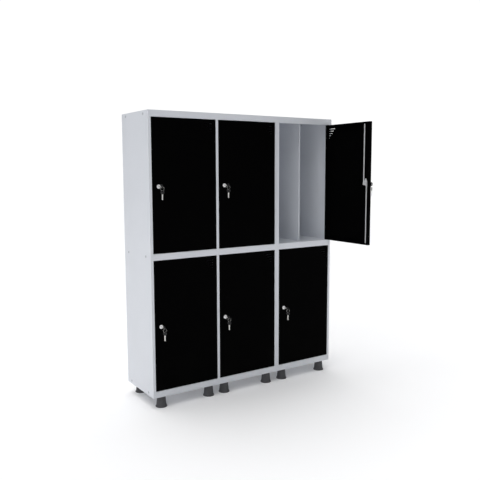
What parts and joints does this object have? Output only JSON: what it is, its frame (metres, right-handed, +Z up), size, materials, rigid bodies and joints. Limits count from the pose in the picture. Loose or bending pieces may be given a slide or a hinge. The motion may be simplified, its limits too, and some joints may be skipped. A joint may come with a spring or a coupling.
{
  "type": "locker cabinet",
  "caption": "Free-standing steel locker cabinet with two rows of hinged vented doors, keyed three-point rod locks, divided compartments and flared plastic feet.",
  "frame": {"origin": "on the floor at the centre of the cabinet's footprint, in the plane of the foot soles", "axes": "+Z up, doors face -Y, +X to the right of someone facing the doors"},
  "size_m": [1.5337, 0.867, 1.925],
  "materials": {
    "body_paint": "satin powder coat",
    "door_paint": "satin black powder coat",
    "lock_chrome": "polished",
    "zinc_steel": "bright zinc plate",
    "body_bolts": "painted with the body",
    "key_metal": "nickel plated",
    "key_bow_plastic": "moulded",
    "foot_plastic": "fine moulded grain",
    "bush_plastic": "moulded nylon"
  },
  "bodies": {
    "carcass": {"side_panels": "body_paint", "centre_partition": "body_paint", "back_panels": "body_paint", "top_panels": "body_paint", "base_panels": "body_paint", "middle_shelves": "body_paint", "compartment_dividers": "body_paint", "foot_channels": "body_paint", "feet": "foot_plastic", "foot_bolts": "zinc_steel", "pivot_bushes": "bush_plastic", "panel_bolts": "body_bolts"},
    "door_1": {"door_1": "door_paint", "hinge_pins_1": "zinc_steel", "lock_barrel_1": "lock_chrome"},
    "lock_1": {"lock_cam_1": "zinc_steel"},
    "key_1": {"key_1": "key_metal"},
    "key_ring_1": {"key_ring_1": "key_metal"},
    "upper_rod_1": {"upper_rod_1": "zinc_steel"},
    "lower_rod_1": {"lower_rod_1": "zinc_steel"},
    "door_2": {"door_2": "door_paint", "hinge_pins_2": "zinc_steel", "lock_barrel_2": "lock_chrome"},
    "lock_2": {"lock_cam_2": "zinc_steel"},
    "key_2": {"key_2": "key_metal"},
    "key_ring_2": {"key_ring_2": "key_metal"},
    "upper_rod_2": {"upper_rod_2": "zinc_steel"},
    "lower_rod_2": {"lower_rod_2": "zinc_steel"},
    "door_3": {"door_3": "door_paint", "hinge_pins_3": "zinc_steel", "lock_barrel_3": "lock_chrome"},
    "lock_3": {"lock_cam_3": "zinc_steel"},
    "key_3": {"key_3": "key_metal"},
    "key_ring_3": {"key_ring_3": "key_metal"},
    "upper_rod_3": {"upper_rod_3": "zinc_steel"},
    "lower_rod_3": {"lower_rod_3": "zinc_steel"},
    "door_4": {"door_4": "door_paint", "hinge_pins_4": "zinc_steel", "lock_barrel_4": "lock_chrome"},
    "lock_4": {"lock_cam_4": "zinc_steel"},
    "key_4": {"key_4": "key_metal"},
    "key_ring_4": {"key_ring_4": "key_metal"},
    "upper_rod_4": {"upper_rod_4": "zinc_steel"},
    "lower_rod_4": {"lower_rod_4": "zinc_steel"},
    "door_5": {"door_5": "door_paint", "hinge_pins_5": "zinc_steel", "lock_barrel_5": "lock_chrome"},
    "lock_5": {"lock_cam_5": "zinc_steel"},
    "key_5": {"key_5": "key_metal"},
    "key_ring_5": {"key_ring_5": "key_metal"},
    "upper_rod_5": {"upper_rod_5": "zinc_steel"},
    "lower_rod_5": {"lower_rod_5": "zinc_steel"},
    "door_6": {"door_6": "door_paint", "hinge_pins_6": "zinc_steel", "lock_barrel_6": "lock_chrome"},
    "lock_6": {"lock_cam_6": "zinc_steel"},
    "key_6": {"key_6": "key_metal"},
    "key_ring_6": {"key_ring_6": "key_metal"},
    "upper_rod_6": {"upper_rod_6": "zinc_steel"},
    "lower_rod_6": {"lower_rod_6": "zinc_steel"}
  },
  "joints": [
    {"name": "door_1_hinge", "type": "hinge", "parent": "carcass", "child": "door_1", "pos_m": [-0.2725, -0.2025, 1.452], "axis": [0, 0, 1], "range_deg": [0, 115]},
    {"name": "lock_1_turn", "type": "hinge", "parent": "door_1", "child": "lock_1", "pos_m": [-0.6855, -0.2075, 1.449], "axis": [0, -1, 0], "range_deg": [0, 90]},
    {"name": "key_1_pull", "type": "slide", "parent": "lock_1", "child": "key_1", "axis": [0, -1, 0], "range_m": [0, 0.035]},
    {"name": "key_ring_1_droop", "type": "hinge", "parent": "key_1", "child": "key_ring_1", "pos_m": [-0.6855, -0.2585, 1.449], "axis": [0, -1, 0], "range_deg": [-36, 0]},
    {"name": "upper_rod_1_pin", "type": "hinge", "parent": "lock_1", "child": "upper_rod_1", "pos_m": [-0.6715, -0.1935, 1.449], "axis": [0, -1, 0], "range_deg": [-90, 0]},
    {"name": "lower_rod_1_pin", "type": "hinge", "parent": "lock_1", "child": "lower_rod_1", "pos_m": [-0.6995, -0.1935, 1.449], "axis": [0, -1, 0], "range_deg": [-90, 0]},
    {"name": "door_2_hinge", "type": "hinge", "parent": "carcass", "child": "door_2", "pos_m": [0.2155, -0.2025, 1.452], "axis": [0, 0, 1], "range_deg": [0, 115]},
    {"name": "lock_2_turn", "type": "hinge", "parent": "door_2", "child": "lock_2", "pos_m": [-0.1975, -0.2075, 1.449], "axis": [0, -1, 0], "range_deg": [0, 90]},
    {"name": "key_2_pull", "type": "slide", "parent": "lock_2", "child": "key_2", "axis": [0, -1, 0], "range_m": [0, 0.035]},
    {"name": "key_ring_2_droop", "type": "hinge", "parent": "key_2", "child": "key_ring_2", "pos_m": [-0.1975, -0.2585, 1.449], "axis": [0, -1, 0], "range_deg": [-36, 0]},
    {"name": "upper_rod_2_pin", "type": "hinge", "parent": "lock_2", "child": "upper_rod_2", "pos_m": [-0.1835, -0.1935, 1.449], "axis": [0, -1, 0], "range_deg": [-90, 0]},
    {"name": "lower_rod_2_pin", "type": "hinge", "parent": "lock_2", "child": "lower_rod_2", "pos_m": [-0.2115, -0.1935, 1.449], "axis": [0, -1, 0], "range_deg": [-90, 0]},
    {"name": "door_3_hinge", "type": "hinge", "parent": "carcass", "child": "door_3", "pos_m": [0.7215, -0.2025, 1.452], "axis": [0, 0, 1], "range_deg": [-89, 26]},
    {"name": "lock_3_turn", "type": "hinge", "parent": "door_3", "child": "lock_3", "pos_m": [0.71929, -0.61552, 1.449], "axis": [0.9998, -0.0175, 0], "range_deg": [0, 90]},
    {"name": "key_3_pull", "type": "slide", "parent": "lock_3", "child": "key_3", "axis": [0.9998, -0.0175, 0], "range_m": [0, 0.035]},
    {"name": "key_ring_3_droop", "type": "hinge", "parent": "key_3", "child": "key_ring_3", "pos_m": [0.77028, -0.61641, 1.449], "axis": [0.9998, -0.0175, 0], "range_deg": [-36, 0]},
    {"name": "upper_rod_3_pin", "type": "hinge", "parent": "lock_3", "child": "upper_rod_3", "pos_m": [0.70554, -0.60128, 1.449], "axis": [0.9998, -0.0175, 0], "range_deg": [-90, 0]},
    {"name": "lower_rod_3_pin", "type": "hinge", "parent": "lock_3", "child": "lower_rod_3", "pos_m": [0.70505, -0.62928, 1.449], "axis": [0.9998, -0.0175, 0], "range_deg": [-90, 0]},
    {"name": "door_4_hinge", "type": "hinge", "parent": "carcass", "child": "door_4", "pos_m": [-0.2725, -0.2025, 0.548], "axis": [0, 0, 1], "range_deg": [0, 115]},
    {"name": "lock_4_turn", "type": "hinge", "parent": "door_4", "child": "lock_4", "pos_m": [-0.6855, -0.2075, 0.545], "axis": [0, -1, 0], "range_deg": [0, 90]},
    {"name": "key_4_pull", "type": "slide", "parent": "lock_4", "child": "key_4", "axis": [0, -1, 0], "range_m": [0, 0.035]},
    {"name": "key_ring_4_droop", "type": "hinge", "parent": "key_4", "child": "key_ring_4", "pos_m": [-0.6855, -0.2585, 0.545], "axis": [0, -1, 0], "range_deg": [-36, 0]},
    {"name": "upper_rod_4_pin", "type": "hinge", "parent": "lock_4", "child": "upper_rod_4", "pos_m": [-0.6715, -0.1935, 0.545], "axis": [0, -1, 0], "range_deg": [-90, 0]},
    {"name": "lower_rod_4_pin", "type": "hinge", "parent": "lock_4", "child": "lower_rod_4", "pos_m": [-0.6995, -0.1935, 0.545], "axis": [0, -1, 0], "range_deg": [-90, 0]},
    {"name": "door_5_hinge", "type": "hinge", "parent": "carcass", "child": "door_5", "pos_m": [0.2155, -0.2025, 0.548], "axis": [0, 0, 1], "range_deg": [0, 115]},
    {"name": "lock_5_turn", "type": "hinge", "parent": "door_5", "child": "lock_5", "pos_m": [-0.1975, -0.2075, 0.545], "axis": [0, -1, 0], "range_deg": [0, 90]},
    {"name": "key_5_pull", "type": "slide", "parent": "lock_5", "child": "key_5", "axis": [0, -1, 0], "range_m": [0, 0.035]},
    {"name": "key_ring_5_droop", "type": "hinge", "parent": "key_5", "child": "key_ring_5", "pos_m": [-0.1975, -0.2585, 0.545], "axis": [0, -1, 0], "range_deg": [-36, 0]},
    {"name": "upper_rod_5_pin", "type": "hinge", "parent": "lock_5", "child": "upper_rod_5", "pos_m": [-0.1835, -0.1935, 0.545], "axis": [0, -1, 0], "range_deg": [-90, 0]},
    {"name": "lower_rod_5_pin", "type": "hinge", "parent": "lock_5", "child": "lower_rod_5", "pos_m": [-0.2115, -0.1935, 0.545], "axis": [0, -1, 0], "range_deg": [-90, 0]},
    {"name": "door_6_hinge", "type": "hinge", "parent": "carcass", "child": "door_6", "pos_m": [0.7215, -0.2025, 0.548], "axis": [0, 0, 1], "range_deg": [0, 115]},
    {"name": "lock_6_turn", "type": "hinge", "parent": "door_6", "child": "lock_6", "pos_m": [0.3085, -0.2075, 0.545], "axis": [0, -1, 0], "range_deg": [0, 90]},
    {"name": "key_6_pull", "type": "slide", "parent": "lock_6", "child": "key_6", "axis": [0, -1, 0], "range_m": [0, 0.035]},
    {"name": "key_ring_6_droop", "type": "hinge", "parent": "key_6", "child": "key_ring_6", "pos_m": [0.3085, -0.2585, 0.545], "axis": [0, -1, 0], "range_deg": [-36, 0]},
    {"name": "upper_rod_6_pin", "type": "hinge", "parent": "lock_6", "child": "upper_rod_6", "pos_m": [0.3225, -0.1935, 0.545], "axis": [0, -1, 0], "range_deg": [-90, 0]},
    {"name": "lower_rod_6_pin", "type": "hinge", "parent": "lock_6", "child": "lower_rod_6", "pos_m": [0.2945, -0.1935, 0.545], "axis": [0, -1, 0], "range_deg": [-90, 0]}
  ],
  "couplings": [
    {"joint": "key_ring_1_droop", "follows": "lock_1_turn", "ratio": -0.4},
    {"joint": "upper_rod_1_pin", "follows": "lock_1_turn", "ratio": -1},
    {"joint": "lower_rod_1_pin", "follows": "lock_1_turn", "ratio": -1},
    {"joint": "key_ring_2_droop", "follows": "lock_2_turn", "ratio": -0.4},
    {"joint": "upper_rod_2_pin", "follows": "lock_2_turn", "ratio": -1},
    {"joint": "lower_rod_2_pin", "follows": "lock_2_turn", "ratio": -1},
    {"joint": "key_ring_3_droop", "follows": "lock_3_turn", "ratio": -0.4},
    {"joint": "upper_rod_3_pin", "follows": "lock_3_turn", "ratio": -1},
    {"joint": "lower_rod_3_pin", "follows": "lock_3_turn", "ratio": -1},
    {"joint": "key_ring_4_droop", "follows": "lock_4_turn", "ratio": -0.4},
    {"joint": "upper_rod_4_pin", "follows": "lock_4_turn", "ratio": -1},
    {"joint": "lower_rod_4_pin", "follows": "lock_4_turn", "ratio": -1},
    {"joint": "key_ring_5_droop", "follows": "lock_5_turn", "ratio": -0.4},
    {"joint": "upper_rod_5_pin", "follows": "lock_5_turn", "ratio": -1},
    {"joint": "lower_rod_5_pin", "follows": "lock_5_turn", "ratio": -1},
    {"joint": "key_ring_6_droop", "follows": "lock_6_turn", "ratio": -0.4},
    {"joint": "upper_rod_6_pin", "follows": "lock_6_turn", "ratio": -1},
    {"joint": "lower_rod_6_pin", "follows": "lock_6_turn", "ratio": -1}
  ]
}
